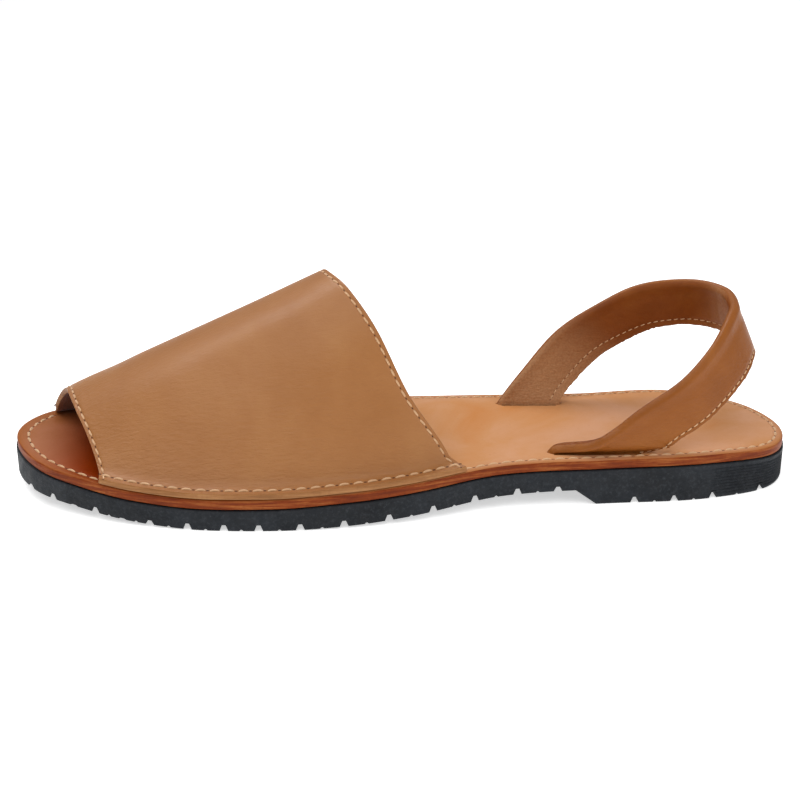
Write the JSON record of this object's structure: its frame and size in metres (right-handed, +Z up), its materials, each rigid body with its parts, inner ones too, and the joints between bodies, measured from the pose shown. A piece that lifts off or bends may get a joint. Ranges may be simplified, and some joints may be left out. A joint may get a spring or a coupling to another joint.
{
  "type": "avarca sandal",
  "caption": "Flat leather sandal for the left foot with an open-toed vamp, a heel strap through slits in the insole, and a grooved rubber sole with a low heel.",
  "frame": {"origin": "on the ground under the middle of the sandal's box", "axes": "+Z up, the toe points to -X and the heel to +X, the outer side of the foot is at -Y and the inner side at +Y"},
  "size_m": [0.265, 0.0904, 0.0718],
  "materials": {
    "rubber": "dull charcoal moulded rubber",
    "insole_leather": "smooth orange-tan vegetable leather with a soft shine",
    "vamp_leather": "smooth tan leather with a satin shine",
    "strap_leather": "smooth tan leather with a satin shine, folded double"
  },
  "bodies": {
    "root": {"outsole": "rubber", "insole": "insole_leather", "vamp": "vamp_leather", "heel_strap": "strap_leather"}
  },
  "joints": []
}
